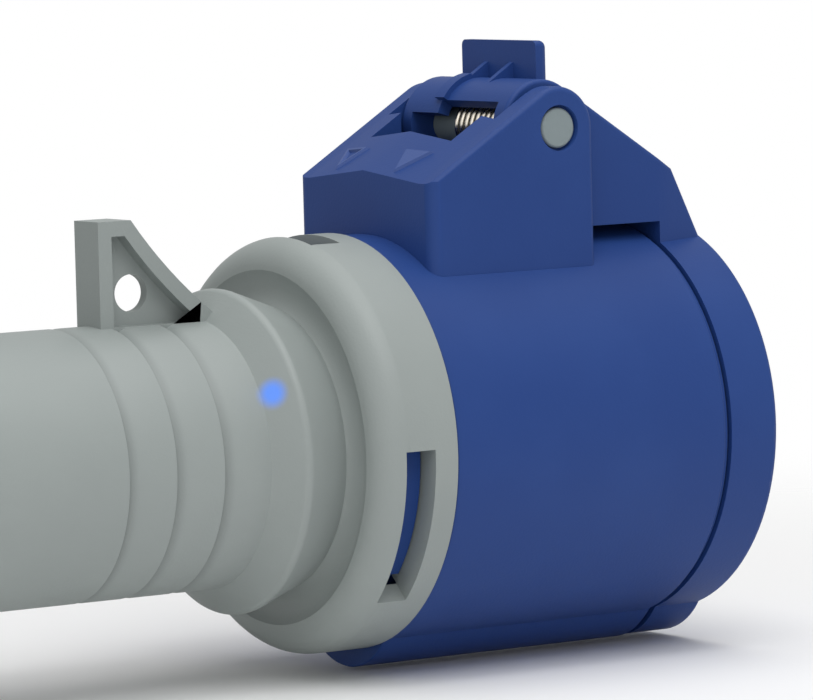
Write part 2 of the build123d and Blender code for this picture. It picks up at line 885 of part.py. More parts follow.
def contact_part(contact_pin_r, angle):
    sleeve_r, terminal_r = contact_sizes(contact_pin_r)
    clip_x = contact_front_x - clip_setback
    front = contact_plane(contact_front_x, angle)
    with BuildPart() as body:
        with BuildSketch(front):
            Circle(sleeve_r)
        extrude(amount=terminal_front_x - contact_front_x)
        with BuildSketch(contact_plane(terminal_rear_x, angle)):
            Circle(terminal_r)
        extrude(amount=terminal_length)
        with BuildSketch(front):
            Circle(contact_pin_r + sleeve_fit)
        extrude(amount=-pin_bore_depth, mode=Mode.SUBTRACT)
        with BuildSketch(front):
            Rectangle(2 * terminal_r, contact_slot)
            Rectangle(contact_slot, 2 * terminal_r)
        extrude(amount=-contact_slot_length, mode=Mode.SUBTRACT)
        with BuildSketch(contact_plane(clip_x, angle)):
            Circle(terminal_r)
            Circle(sleeve_r - clip_thickness, mode=Mode.SUBTRACT)
        extrude(amount=-clip_width, mode=Mode.SUBTRACT)
        with BuildSketch(contact_plane(terminal_rear_x, angle)):
            Circle(wire_hole_r)
        extrude(amount=wire_hole_depth, mode=Mode.SUBTRACT)
        with BuildSketch(screw_plane(contact_circle_r, angle)):
            Circle(terminal_screw_r + screw_fit)
        extrude(amount=2 * terminal_r, mode=Mode.SUBTRACT)
    return body.part


line_contact = contact_part(*contacts["line"])
line_contact.label = "line_contact"
export_step(line_contact, "parts/line_contact.step")

neutral_contact = contact_part(*contacts["neutral"])
neutral_contact.label = "neutral_contact"
export_step(neutral_contact, "parts/neutral_contact.step")

earth_contact = contact_part(*contacts["earth"])
earth_contact.label = "earth_contact"
export_step(earth_contact, "parts/earth_contact.step")


def clip_part(names):
    """Open steel clips that lie in the sleeves' grooves."""
    with BuildPart() as clips:
        for name in names:
            contact_pin_r, angle = contacts[name]
            sleeve_r, _ = contact_sizes(contact_pin_r)
            start = contact_front_x - clip_setback - clip_play
            with BuildSketch(contact_plane(start, angle)):
                Circle(sleeve_r - clip_play)
                Circle(sleeve_r - clip_thickness + clip_play / 2, mode=Mode.SUBTRACT)
                with Locations((sleeve_r, 0)):
                    Rectangle(sleeve_r, contact_slot, mode=Mode.SUBTRACT)
            extrude(amount=2 * clip_play - clip_width)
    return clips.part


pole_contact_rings = clip_part(("line", "neutral"))
pole_contact_rings.label = "pole_contact_rings"
export_step(pole_contact_rings, "parts/pole_contact_rings.step")

earth_contact_ring = clip_part(("earth",))
earth_contact_ring.label = "earth_contact_ring"
export_step(earth_contact_ring, "parts/earth_contact_ring.step")


def terminal_screws_part():
    """Slotted grub screws that clamp the conductors."""
    with BuildPart() as screws:
        for _, angle in contacts.values():
            top = screw_plane(terminal_block_r - terminal_screw_sink, angle)
            with BuildSketch(top):
                Circle(terminal_screw_r)
            extrude(amount=-terminal_screw_length)
            with BuildSketch(top):
                Rectangle(2 * terminal_screw_r, screw_slot)
            extrude(amount=-screw_slot_depth, mode=Mode.SUBTRACT)
    return screws.part


terminal_screws = terminal_screws_part()
terminal_screws.label = "terminal_screws"
export_step(terminal_screws, "parts/terminal_screws.step")


def carrier_screws_part():
    """Pan head screws through the carrier's flange."""
    with BuildPart() as screws:
        plane, spots = screw_places(flange_rear_x)
        with BuildSketch(plane):
            with Locations(*spots):
                Circle(carrier_screw_r - screw_fit)
        extrude(amount=carrier_screw_length)
        with BuildSketch(plane):
            with Locations(*spots):
                Circle(carrier_screw_head_r)
        extrude(amount=-carrier_screw_head)
        with BuildSketch(plane.offset(-carrier_screw_head)):
            with Locations(*spots):
                Rectangle(2 * carrier_screw_head_r, screw_slot)
        extrude(amount=screw_slot_depth, mode=Mode.SUBTRACT)
    return screws.part


carrier_screws = carrier_screws_part()
carrier_screws.label = "carrier_screws"
export_step(carrier_screws, "parts/carrier_screws.step")


# Indicator board, flat on a plane that faces the lamp's direction
board_plane = Plane(
    (terminal_block_rear_x, 0, 0), x_dir=(-1, 0, 0), z_dir=(0, *polar(1, board_angle))
)
lamp_reach = terminal_block_rear_x - (tail_start_x - lamp_setback)
board_length = lamp_reach + board_overhang


def contact_chambers(rear_x):
    """Stepped holes for the three contacts, as a body to take away, from rear_x forwards.

    The sleeves stand free in them, because they open a little when a pin goes in.
    """
    with BuildPart() as holes:
        for contact_pin_r, angle in contacts.values():
            _, terminal_r = contact_sizes(contact_pin_r)
            for radius, front_x in (
                (contact_pin_r + pin_entry_clearance, carrier_front_x),
                (terminal_r + chamber_fit, contact_front_x + sleeve_fit),
            ):
                with BuildSketch(contact_plane(rear_x, angle)):
                    Circle(radius)
                extrude(amount=front_x - rear_x)
    return holes.part


def contact_carrier_part():
    """Insulating insert with its flange, which lies behind the housing's bulkhead."""
    plane, spots = screw_places(flange_rear_x)
    chambers = contact_chambers(flange_rear_x)
    with BuildPart() as body:
        with BuildSketch(Plane.YZ.offset(bulkhead_rear_x)):
            Circle(carrier_r)
        extrude(amount=carrier_front_x - bulkhead_rear_x)
        front_edge = body.edges().sort_by(Axis.X)[-1]
        chamfer(front_edge, length=carrier_front_chamfer)
        # Pockets for the housing's screw bosses
        with BuildSketch(Plane.YZ.offset(bulkhead_rear_x)):
            with Locations(*spots):
                Circle(screw_boss_r + carrier_fit)
        extrude(amount=screw_boss_length + carrier_fit, mode=Mode.SUBTRACT)
        with BuildSketch(plane):
            Circle(flange_r)
            with Locations(*spots):
                Circle(carrier_screw_r + carrier_fit, mode=Mode.SUBTRACT)
        extrude(amount=flange_thickness)
        add(chambers, mode=Mode.SUBTRACT)
    return body.part


contact_carrier = contact_carrier_part()
contact_carrier.label = "contact_carrier"
export_step(contact_carrier, "parts/contact_carrier.step")


def terminal_block_part():
    """Insulating block over the screw terminals, with rails for the indicator board."""
    _, spots = screw_places(flange_rear_x)
    rail_half = board_width / 2 + rail_wall
    chambers = contact_chambers(terminal_block_rear_x)
    with BuildPart() as body:
        with BuildSketch(Plane.YZ.offset(terminal_block_rear_x)):
            Circle(terminal_block_r)
            with Locations(*spots):
                Circle(carrier_screw_head_r + 2 * carrier_fit, mode=Mode.SUBTRACT)
        extrude(amount=terminal_block_length)
        # Rails that hold the indicator board
        with BuildSketch(board_plane.offset(board_offset - rail_wall)):
            for side in (-1, 1):
                with Locations((rail_length / 2, side * (rail_half - (rail_wall + rail_grip) / 2))):
                    Rectangle(rail_length, rail_wall + rail_grip)
        extrude(amount=board_thickness + 2 * rail_wall)
        with BuildSketch(board_plane.offset(board_offset - board_fit)):
            with Locations((rail_length, 0)):
                Rectangle(2 * rail_length, board_width + 2 * board_fit)
        extrude(amount=board_thickness + 2 * board_fit, mode=Mode.SUBTRACT)
        add(chambers, mode=Mode.SUBTRACT)
        for _, angle in contacts.values():
            with BuildSketch(screw_plane(contact_circle_r, angle)):
                Circle(terminal_screw_r + chamber_fit)
            extrude(amount=carrier_r, mode=Mode.SUBTRACT)
    return body.part


terminal_block = terminal_block_part()
terminal_block.label = "terminal_block"
export_step(terminal_block, "parts/terminal_block.step")


def indicator_board_part():
    with BuildPart() as board:
        with BuildSketch(board_plane.offset(board_offset)):
            with Locations((board_length / 2 + board_fit, 0)):
                Rectangle(board_length, board_width)
        extrude(amount=board_thickness)
    return board.part


indicator_board = indicator_board_part()
indicator_board.label = "indicator_board"
export_step(indicator_board, "parts/indicator_board.step")


def indicator_lamp_part():
    """Small domed lamp on two leads, pointing at the shell's wall."""
    tip = tail_bore_r - lamp_tip_gap
    dome_base = tip - lamp_r
    flange_base = tip - lamp_length
    foot = board_offset + board_thickness
    spot = board_plane.from_local_coords(Vector(lamp_reach, 0, dome_base))
    with BuildPart() as lamp:
        for radius, height in ((lamp_r, dome_base - flange_base), (lamp_flange_r, lamp_flange)):
            with BuildSketch(board_plane.offset(flange_base)):
                with Locations((lamp_reach, 0)):
                    Circle(radius)
            extrude(amount=height)
        with Locations(spot):
            Sphere(lamp_r)
        with BuildSketch(board_plane.offset(foot)):
            with Locations((lamp_reach, lamp_lead_spacing), (lamp_reach, -lamp_lead_spacing)):
                Rectangle(2 * lamp_lead, 2 * lamp_lead)
        extrude(amount=flange_base - foot)
    return lamp.part


indicator_lamp = indicator_lamp_part()
indicator_lamp.label = "indicator_lamp"
export_step(indicator_lamp, "parts/indicator_lamp.step")


# Cable gland: cage, seal, slip ring and cap nut
cage_outer_r = spout_bore_r - 2 * gland_fit
cage_inner_r = cage_outer_r - cage_wall
cage_rear_x = gland_seat_x - cage_length
slip_ring_front_x = cage_rear_x - gland_fit
slip_ring_rear_x = slip_ring_front_x - slip_ring_thickness
nut_front_x = tail_end_x - nut_gap
nut_rear_x = nut_front_x - nut_length


def clamp_cage_part():
    cage = ring(cage_rear_x, gland_seat_x, cage_inner_r, cage_outer_r)
    with BuildPart() as body:
        add(cage)
        with BuildSketch(Plane.YZ.offset(cage_rear_x)):
            with PolarLocations((cage_inner_r + cage_outer_r) / 2, cage_slots):
                Rectangle(3 * cage_wall, cage_slot_width)
        extrude(amount=cage_slot_length, mode=Mode.SUBTRACT)
    return body.part


clamp_cage = clamp_cage_part()
clamp_cage.label = "clamp_cage"
export_step(clamp_cage, "parts/clamp_cage.step")

gland_seal = ring(cage_rear_x + gland_fit, gland_seat_x - gland_fit, gland_cable_r, cage_inner_r - gland_fit)
gland_seal.label = "gland_seal"
export_step(gland_seal, "parts/gland_seal.step")

slip_ring = ring(slip_ring_rear_x, slip_ring_front_x, nut_mouth_r, cage_outer_r)
slip_ring.label = "slip_ring"
export_step(slip_ring, "parts/slip_ring.step")


def gland_nut_part():
    thread_r = spout_r + nut_thread_clearance
    thread_end_x = spout_end_x - 2 * nut_gap
    boss_x = slip_ring_rear_x - gland_fit
    with BuildPart() as nut:
        with BuildSketch(Plane.XZ):
            with BuildLine():
                Polyline(
                    (nut_rear_x + nut_end_length, nut_r),
                    (nut_front_x, nut_r),
                    (nut_front_x, thread_r),
                    (thread_end_x, thread_r),
                    (thread_end_x, cage_outer_r),
                    (boss_x, cage_outer_r),
                    (boss_x, nut_mouth_r),
                    (nut_rear_x, nut_mouth_r),
                    (nut_rear_x, nut_end_r),
                )
                TangentArc(
                    (nut_rear_x + nut_end_length, nut_r), (nut_rear_x, nut_end_r), tangent=(-1, 0)
                )
            make_face()
        revolve(axis=Axis.X)
        with BuildSketch(Plane.YZ.offset(nut_front_x)):
            with PolarLocations(nut_r + nut_flute_r - nut_flute_depth, nut_flutes):
                Circle(nut_flute_r)
        extrude(amount=nut_end_length - nut_length, mode=Mode.SUBTRACT)
    return nut.part


gland_nut = gland_nut_part()
gland_nut.label = "gland_nut"
export_step(gland_nut, "parts/gland_nut.step")
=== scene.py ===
# %% [markdown]
# # A pin and sleeve connector, dressed for its portrait
#
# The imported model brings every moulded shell, contact and screw at its real size. This script
# gives those pieces softened edges and their finishes, adds the small things that the solids
# leave out, and sets up the light and the camera.

# %% Load the frame
import bpy
import bmesh
import json
from math import cos, pi, radians, sin
from mathutils import Matrix, Vector
from mathutils.bvhtree import BVHTree

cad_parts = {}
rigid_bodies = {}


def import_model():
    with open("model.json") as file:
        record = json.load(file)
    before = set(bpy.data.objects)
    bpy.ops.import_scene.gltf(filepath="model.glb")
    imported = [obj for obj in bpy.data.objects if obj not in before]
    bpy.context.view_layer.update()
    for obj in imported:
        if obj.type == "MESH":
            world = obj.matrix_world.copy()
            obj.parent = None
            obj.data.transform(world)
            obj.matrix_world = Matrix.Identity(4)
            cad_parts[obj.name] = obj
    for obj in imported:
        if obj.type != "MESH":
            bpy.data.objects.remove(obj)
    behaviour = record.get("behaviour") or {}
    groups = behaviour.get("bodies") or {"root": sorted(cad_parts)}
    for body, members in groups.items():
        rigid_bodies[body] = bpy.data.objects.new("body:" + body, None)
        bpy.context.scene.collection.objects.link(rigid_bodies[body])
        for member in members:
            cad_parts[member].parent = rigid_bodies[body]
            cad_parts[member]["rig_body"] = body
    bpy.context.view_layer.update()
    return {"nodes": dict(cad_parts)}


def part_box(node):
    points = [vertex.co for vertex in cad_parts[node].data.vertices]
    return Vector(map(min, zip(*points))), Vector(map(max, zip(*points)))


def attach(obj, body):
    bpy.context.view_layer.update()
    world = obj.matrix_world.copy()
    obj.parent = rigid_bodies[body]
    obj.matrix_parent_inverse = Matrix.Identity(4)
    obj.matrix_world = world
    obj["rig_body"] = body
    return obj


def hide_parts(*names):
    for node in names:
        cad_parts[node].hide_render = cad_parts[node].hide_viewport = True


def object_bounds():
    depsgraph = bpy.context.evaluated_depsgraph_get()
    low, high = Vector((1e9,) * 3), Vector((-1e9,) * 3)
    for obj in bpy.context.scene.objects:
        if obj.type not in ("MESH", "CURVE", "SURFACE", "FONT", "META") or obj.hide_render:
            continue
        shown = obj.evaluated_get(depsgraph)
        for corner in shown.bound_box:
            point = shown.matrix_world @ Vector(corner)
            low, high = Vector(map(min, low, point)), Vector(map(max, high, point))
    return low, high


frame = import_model()
MM = 0.001

# %% [markdown]
# ## Writing shaders as sums
#
# A node tree is easier to read as arithmetic. `Value` wraps a socket that carries a number, and
# its operators add Math nodes. `Shader.node` adds any other node: settings first, then inputs,
# where an input is a number, a colour or the socket of another node. An input is called by its
# name, or by its place in the node's list (`i0`, `i1`) where names repeat.


# %% Shader arithmetic
class Value:
    """A socket that carries a number."""

    def __init__(self, shader, socket):
        self.shader = shader
        self.socket = socket

    def __add__(self, other):
        return self.shader.math("ADD", self, other)

    def __rsub__(self, other):
        return self.shader.math("SUBTRACT", other, self)

    def __mul__(self, other):
        return self.shader.math("MULTIPLY", self, other)

    def __pow__(self, other):
        return self.shader.math("POWER", self, other)

    __radd__ = __add__


class Shader:
    """One material with its Principled shader."""

    def __init__(self, name, base_color, **constants):
        self.material = bpy.data.materials.new(name)
        self.material.use_nodes = True
        self.tree = self.material.node_tree
        self.surface = self.tree.nodes["Principled BSDF"]
        self.material.diffuse_color = (*base_color, 1)
        self.surface.inputs["Base Color"].default_value = (*base_color, 1)
        for socket, value in constants.items():
            self.surface.inputs[socket.replace("_", " ")].default_value = value

    def node(self, kind, settings=None, out=0, **inputs):
        made = self.tree.nodes.new(kind)
        for setting, value in (settings or {}).items():
            setattr(made, setting, value)
        for key, value in inputs.items():
            by_place = key[0] == "i" and key[1:].isdigit()
            index = int(key[1:]) if by_place else key.replace("_", " ")
            self.plug(made.inputs[index], value)
        return Value(self, made.outputs[out])

    def plug(self, socket, value):
        if isinstance(value, Value):
            self.tree.links.new(value.socket, socket)
        else:
            socket.default_value = value

    def into(self, socket, value):
        """Send a value into an input of the Principled shader."""
        self.plug(self.surface.inputs[socket], value)

    def math(self, operation, *values):
        inputs = {f"i{n}": value for n, value in enumerate(values)}
        return self.node("ShaderNodeMath", {"operation": operation}, **inputs)

    def mix(self, factor, first, second):
        """Two colours mixed by a factor."""
        return self.node(
            "ShaderNodeMix", {"data_type": "RGBA"}, out=2, i0=factor, i6=first, i7=second
        )

    def step(self, value, low, high):
        """0 below low and 1 above high, with a soft rise between."""
        return self.node(
            "ShaderNodeMapRange",
            {"interpolation_type": "SMOOTHSTEP"},
            Value=value, From_Min=low, From_Max=high, To_Min=0.0, To_Max=1.0,
        )

    def place(self):
        """Object coordinates, in metres."""
        return self.node("ShaderNodeTexCoord", out=3)

    def axes(self, vector):
        split = self.tree.nodes.new("ShaderNodeSeparateXYZ")
        self.tree.links.new(vector.socket, split.inputs[0])
        return [Value(self, output) for output in split.outputs]

    def distance(self, point):
        """How far the shaded spot is from a point."""
        return self.node(
            "ShaderNodeVectorMath", {"operation": "DISTANCE"}, out=1, i0=self.place(), i1=point
        )

    def noise(self, scale, detail):
        return self.node("ShaderNodeTexNoise", Vector=self.place(), Scale=scale, Detail=detail)

    def bump(self, height, distance, strength=1.0):
        normal = self.node("ShaderNodeBump", Height=height, Distance=distance, Strength=strength)
        self.into("Normal", normal)


# %% [markdown]
# ## Moulded plastic
#
# Both shells come out of spark-eroded moulds, so their skin is a very fine pebble that spreads
# the light. Handling leaves broad, faint patches where the skin is a little smoother. The blue is
# dyed through, and its colour hardly changes. Two noises do it, which needs no picture and no
# unwrapping: a fine one for the pebble and a broad one for the patches. The marks on the hinge
# block get a lighter blue, a painted sheen for the light that their smoother skin catches.

# %% Plastics
patch_scale, patch_low, patch_high = 45.0, 0.35, 0.7
patch_roughness = 0.1
grain_scale, grain_depth, grain_strength = 2600.0, 0.03 * MM, 0.6


def moulded(name, colour, shade, roughness, **constants):
    """Dyed plastic with a fine pebbled skin."""
    shader = Shader(name, colour, Roughness=roughness, **constants)
    broad = shader.noise(patch_scale, detail=3.0)
    fine = shader.noise(grain_scale, detail=1.0)
    patches = shader.step(broad, patch_low, patch_high)
    shader.tint = shader.mix(patches, (*colour, 1), (*shade, 1))
    shader.into("Base Color", shader.tint)
    shader.into("Roughness", roughness - patch_roughness / 2 + broad * patch_roughness)
    shader.bump(fine, grain_depth, grain_strength)
    return shader


blue_roughness, blue_specular = 0.48, 0.2
blue_plastic = moulded(
    "blue_plastic", (0.017, 0.051, 0.208), (0.020, 0.057, 0.222), blue_roughness,
    Specular_IOR_Level=blue_specular,
)
# painted sheen: the marks wear a lighter copy of the block's blue
mark_painted_sheen = moulded(
    "mark_painted_sheen", (0.045, 0.084, 0.256), (0.049, 0.090, 0.268), blue_roughness,
    Specular_IOR_Level=blue_specular,
)
pin_plastic = moulded("pin_plastic", (0.20, 0.245, 0.255), (0.215, 0.26, 0.27), 0.4)
carrier_plastic = moulded("carrier_plastic", (0.03, 0.03, 0.033), (0.038, 0.038, 0.04), 0.5)
cage_plastic = moulded("cage_plastic", (0.045, 0.045, 0.048), (0.055, 0.055, 0.057), 0.45)
board_lacquer = moulded("board_lacquer", (0.015, 0.14, 0.05), (0.02, 0.17, 0.06), 0.3)
rubber = moulded("rubber", (0.018, 0.018, 0.018), (0.024, 0.024, 0.024), 0.7)
print("blue plastic:", len(blue_plastic.tree.nodes), "nodes in its tree")

# %% [markdown]
# ## The grey shell and the light behind it
#
# A small blue lamp sits inside the tail, close to the wall, and shines through the grey plastic
# as a round spot. A shell that really lets light through would need a long render, so the spot is
# written into the shell's own finish: the distance to the lamp's tip, in object coordinates,
# lights the surface and dies away quickly.
#
# The three grooves round the tail get a painted shade: their floors are a darker grey, where less
# light reaches. They are known by their depth: the shader measures how far the surface lies under
# the tail's own radius.

# %% Grey shell
grey_base, grey_shade, grey_roughness = (0.275, 0.306, 0.298), (0.290, 0.322, 0.313), 0.5
grey_plastic = moulded("grey_plastic", grey_base, grey_shade, grey_roughness)
plain_grey = moulded("plain_grey", grey_base, grey_shade, grey_roughness)

tail_radius, groove_depth = 17.8 * MM, 0.7 * MM
# painted shade: the groove floors get this darker grey in place of the shade that falls there
groove_shade_grey = (0.245, 0.273, 0.266, 1)
sideways, height = grey_plastic.axes(grey_plastic.place())[1:]
sunk = tail_radius - (sideways * sideways + height * height) ** 0.5
in_groove = grey_plastic.step(sunk, 0.1 * groove_depth, 0.8 * groove_depth)
under_groove = grey_plastic.step(sunk, 1.2 * groove_depth, 1.5 * groove_depth)
groove_shaded_grey = grey_plastic.mix(in_groove * (1 - under_groove), grey_plastic.tint, groove_shade_grey)

lamp_low, lamp_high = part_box("indicator_lamp")
lamp_angle = radians(152)
shell_radius = 19.0 * MM
glow_ahead = 1.4 * MM
glow_core, glow_radius = 0.625 * MM, 2.5 * MM
lit_grey, glow_blue, unlit = (0.05, 0.10, 0.30, 1), (0.07, 0.20, 0.66, 1), (0, 0, 0, 1)
glow_centre = Vector((
    (lamp_low.x + lamp_high.x) / 2 + glow_ahead,
    shell_radius * cos(lamp_angle),
    shell_radius * sin(lamp_angle),
))
glow = 1 - grey_plastic.step(grey_plastic.distance(tuple(glow_centre)), glow_core, glow_radius)
grey_plastic.into("Base Color", grey_plastic.mix(glow, groove_shaded_grey, lit_grey))
grey_plastic.into("Emission Color", grey_plastic.mix(glow, unlit, glow_blue))
grey_plastic.into("Emission Strength", 1.0)
print("lamp glows at", [round(c / MM, 1) for c in glow_centre])

# %% [markdown]
# ## Metals and the lamp
#
# The contacts are brass. The spring and the clips are bright drawn wire, the screws are dull
# zinc. Bare metal gets its looks from what it mirrors, so a noise in the roughness and a very
# shallow bump are enough to keep it from looking like chrome. The lamp is clear blue epoxy that
# shines by itself.

# %% Metals
speck_roughness, speck_depth = 0.16, 0.004 * MM


def metal(name, colour, roughness, grain):
    """Bare metal whose roughness varies in fine specks."""
    shader = Shader(name, colour, Metallic=1.0, Roughness=roughness)
    specks = shader.noise(grain, detail=3.0)
    shader.into("Roughness", roughness - speck_roughness / 2 + specks * speck_roughness)
    shader.bump(specks, speck_depth)
    return shader


brass = metal("brass", (0.72, 0.50, 0.20), 0.28, 1800.0)
spring_steel = metal("spring_steel", (0.80, 0.74, 0.64), 0.2, 2500.0)
screw_steel = metal("screw_steel", (0.55, 0.55, 0.54), 0.38, 1500.0)
lamp_epoxy = Shader("lamp_epoxy", (0.25, 0.42, 0.95), Roughness=0.08, Coat_Weight=1.0)
lamp_epoxy.into("Emission Color", (0.15, 0.35, 1.0, 1))
lamp_epoxy.into("Emission Strength", 1.5)
print("brass:", len(brass.tree.nodes), "nodes in its tree")

# %% [markdown]
# ## Who wears what
#
# Every CAD piece gets its one finish. The front moulding comes as three nodes (sleeve, hinge
# block and spigot) and is one piece on the real connector, so all three wear the same blue and
# no seam shows.

# %% Finishes
finishes = {
    "front_housing": blue_plastic, "hinge_block": blue_plastic, "bayonet_spigot": blue_plastic,
    "lid": blue_plastic, "rear_housing": grey_plastic, "gland_nut": plain_grey,
    "hinge_pin": pin_plastic, "contact_carrier": carrier_plastic,
    "terminal_block": carrier_plastic, "line_contact": brass, "neutral_contact": brass,
    "earth_contact": brass, "pole_contact_rings": spring_steel,
    "earth_contact_ring": spring_steel, "hinge_spring": spring_steel,
    "terminal_screws": screw_steel, "carrier_screws": screw_steel,
    "indicator_board": board_lacquer, "indicator_lamp": lamp_epoxy, "housing_seal": rubber,
    "lid_gasket": rubber, "gland_seal": rubber, "clamp_cage": cage_plastic,
    "slip_ring": cage_plastic,
}
for name, shader in finishes.items():
    node = frame["nodes"][name]
    node.data.materials.clear()
    node.data.materials.append(shader.material)
print("pieces finished:", len(finishes))

# %% [markdown]
# ## Softened edges
#
# No moulded or turned edge is perfectly sharp: it carries a small radius that catches a line of
# light. A CAD node keeps its mesh as it is, so each piece that is seen gets a copy. Its triangles
# are merged into flat faces, a narrow Bevel rounds the sharp edges, and the copy stands in for
# the node. A Weighted Normal modifier then lets the large faces decide the shading, so that they
# stay even right up to the bevel.

# %% Dressed copies
merge_distance, flat_angle = 0.002 * MM, radians(0.5)
bevel_segments, sharp_angle = 2, radians(28)


def dressed(name, edge_radius):
    """A softened copy of a CAD node that takes its place."""
    node = frame["nodes"][name]
    mesh = node.data.copy()
    piece = bpy.data.objects.new(name + "_skin", mesh)
    bpy.context.scene.collection.objects.link(piece)
    work = bmesh.new()
    work.from_mesh(mesh)
    bmesh.ops.remove_doubles(work, verts=work.verts, dist=merge_distance)
    bmesh.ops.dissolve_limit(work, angle_limit=flat_angle, verts=work.verts, edges=work.edges)
    for face in work.faces:
        face.smooth = True
    work.to_mesh(mesh)
    work.free()
    bevel = piece.modifiers.new("edge", "BEVEL")
    bevel.width = edge_radius
    bevel.segments = bevel_segments
    bevel.limit_method = "ANGLE"
    bevel.angle_limit = sharp_angle
    bevel.use_clamp_overlap = True
    even = piece.modifiers.new("even_shading", "WEIGHTED_NORMAL")
    even.mode = "FACE_AREA"
    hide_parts(name)
    body = node["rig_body"]
    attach(piece, body)


edge_radii_mm = {
    "front_housing": 0.3, "hinge_block": 0.3, "bayonet_spigot": 0.3, "lid": 0.3,
    "rear_housing": 0.3, "gland_nut": 0.3, "hinge_pin": 0.1, "contact_carrier": 0.15,
}
for name, radius in edge_radii_mm.items():
    dressed(name, radius * MM)
print("dressed:", sorted(edge_radii_mm))

# %% [markdown]
# ## The hinge spring
#
# The lid is shut by a torsion spring on the hinge pin: ten close turns of bright wire, one leg
# down on the housing and one leg forward under the lid's arm. A coil follows a rule, so Geometry
# Nodes draw it, and its sizes are named inputs of the tree. `Recipe` builds such a tree, runs it
# once and keeps the mesh.


# %% Geometry Nodes helper
class Recipe:
    """A Geometry Nodes tree with named inputs."""

    def __init__(self, name, **sizes):
        self.tree = bpy.data.node_groups.new(name, "GeometryNodeTree")
        self.sizes = sizes
        sockets = self.tree.interface
        for size in sizes:
            sockets.new_socket(name=size, in_out="INPUT", socket_type="NodeSocketFloat")
        sockets.new_socket(name="Geometry", in_out="OUTPUT", socket_type="NodeSocketGeometry")
        self.inputs = self.tree.nodes.new("NodeGroupInput")
        self.output = self.tree.nodes.new("NodeGroupOutput")

    def size(self, name):
        return self.inputs.outputs[name]

    def node(self, kind, **inputs):
        made = self.tree.nodes.new(kind)
        for key, value in inputs.items():
            socket = made.inputs[key.replace("_", " ")]
            for part in value if isinstance(value, list) else [value]:
                if isinstance(part, bpy.types.NodeSocket):
                    self.tree.links.new(part, socket)
                else:
                    socket.default_value = part
        return made.outputs[0]

    def bake(self, name, geometry, material):
        """Run the tree on an empty mesh and keep the result as a plain piece."""
        real = self.node("GeometryNodeRealizeInstances", Geometry=geometry)
        painted = self.node("GeometryNodeSetMaterial", Geometry=real, Material=material)
        self.tree.links.new(painted, self.output.inputs[0])
        host = bpy.data.objects.new(name + "_recipe", bpy.data.meshes.new(name + "_recipe"))
        bpy.context.scene.collection.objects.link(host)
        modifier = host.modifiers.new("recipe", "NODES")
        modifier.node_group = self.tree
        for item in self.tree.interface.items_tree:
            if item.in_out == "INPUT":
                modifier[item.identifier] = self.sizes[item.name]
        depsgraph = bpy.context.evaluated_depsgraph_get()
        mesh = bpy.data.meshes.new_from_object(host.evaluated_get(depsgraph))
        bpy.data.objects.remove(host)
        mesh.name = name
        piece = bpy.data.objects.new(name, mesh)
        bpy.context.scene.collection.objects.link(piece)
        print(name, len(mesh.polygons), "faces")
        return piece


# %% [markdown]
# ### Where the wire runs
#
# The spring has to fit between parts that the CAD already places, so its sizes are read from the
# boxes of the pin and of the plain CAD coil. Angles go round the pin. Each leg leaves the coil
# along the tangent, as drawn wire does, and the second one ends at the CAD coil's lowest point.

# %% Spring sizes
pin_low, pin_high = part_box("hinge_pin")
pin_axis = (pin_low + pin_high) / 2
spring_low, spring_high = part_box("hinge_spring")
wire_radius = 0.35 * MM
coil_radius = 3.3 * MM
coil_start, coil_end = radians(56.55), radians(220.0)
whole_turns = 10
coil_turns = whole_turns + (coil_end - coil_start) / (2 * pi)
coil_far_y, coil_near_y = spring_high.y - wire_radius, spring_low.y + wire_radius
lid_leg_length = 11.0 * MM


def beside_pin(angle, y):
    """Point on the coil's circle round the hinge pin."""
    return Vector((
        pin_axis.x + coil_radius * cos(angle), y, pin_axis.z + coil_radius * sin(angle)
    ))


lid_leg_start = beside_pin(coil_start, coil_far_y)
lid_leg_way = Vector((sin(coil_start), 0, -cos(coil_start)))
housing_leg_start = beside_pin(coil_end, coil_near_y)
housing_leg_way = Vector((-sin(coil_end), 0, cos(coil_end)))
housing_leg_length = (spring_low.z + wire_radius - housing_leg_start.z) / housing_leg_way.z
print("turns", round(coil_turns, 3), "housing leg", round(housing_leg_length / MM, 1), "mm")

# %% [markdown]
# ### Winding it
#
# A spiral with equal start and end radius gives the turns, two straight lines give the legs, and
# a small circle is swept along all three.

# %% Spring wire
steps_per_turn, wire_sides = 40, 12
coil = Recipe(
    "coil", wire=wire_radius, radius=coil_radius, length=coil_far_y - coil_near_y,
    turns=coil_turns,
)
turns = coil.node(
    "GeometryNodeCurveSpiral", Resolution=steps_per_turn, Rotations=coil.size("turns"),
    Start_Radius=coil.size("radius"), End_Radius=coil.size("radius"),
    Height=coil.size("length"),
)
laid = coil.node("GeometryNodeTransform", Geometry=turns, Rotation=(pi / 2, -coil_start, 0))
seated = coil.node(
    "GeometryNodeTransform", Geometry=laid, Translation=(pin_axis.x, coil_far_y, pin_axis.z),
)
lid_leg = coil.node(
    "GeometryNodeCurvePrimitiveLine",
    Start=lid_leg_start, End=lid_leg_start + lid_leg_way * lid_leg_length,
)
housing_leg = coil.node(
    "GeometryNodeCurvePrimitiveLine",
    Start=housing_leg_start, End=housing_leg_start + housing_leg_way * housing_leg_length,
)
wire = coil.node(
    "GeometryNodeCurvePrimitiveCircle", Resolution=wire_sides, Radius=coil.size("wire")
)
paths = coil.node("GeometryNodeJoinGeometry", Geometry=[seated, lid_leg, housing_leg])
swept = coil.node("GeometryNodeCurveToMesh", Curve=paths, Profile_Curve=wire, Fill_Caps=True)
smooth = coil.node("GeometryNodeSetShadeSmooth", Geometry=swept)
spring_coil = coil.bake("hinge_spring_wire", smooth, spring_steel.material)
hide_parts("hinge_spring")
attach(spring_coil, "front")

# %% [markdown]
# ## Marks on the block's slope
#
# Two low triangles stand on the slope behind the hinge and point to the two ends of the bayonet's
# turn: the far one is a rim only, the near one is filled. Their corners are set from above and
# dropped onto the slope with a ray, so they lie on it whatever its angle is.

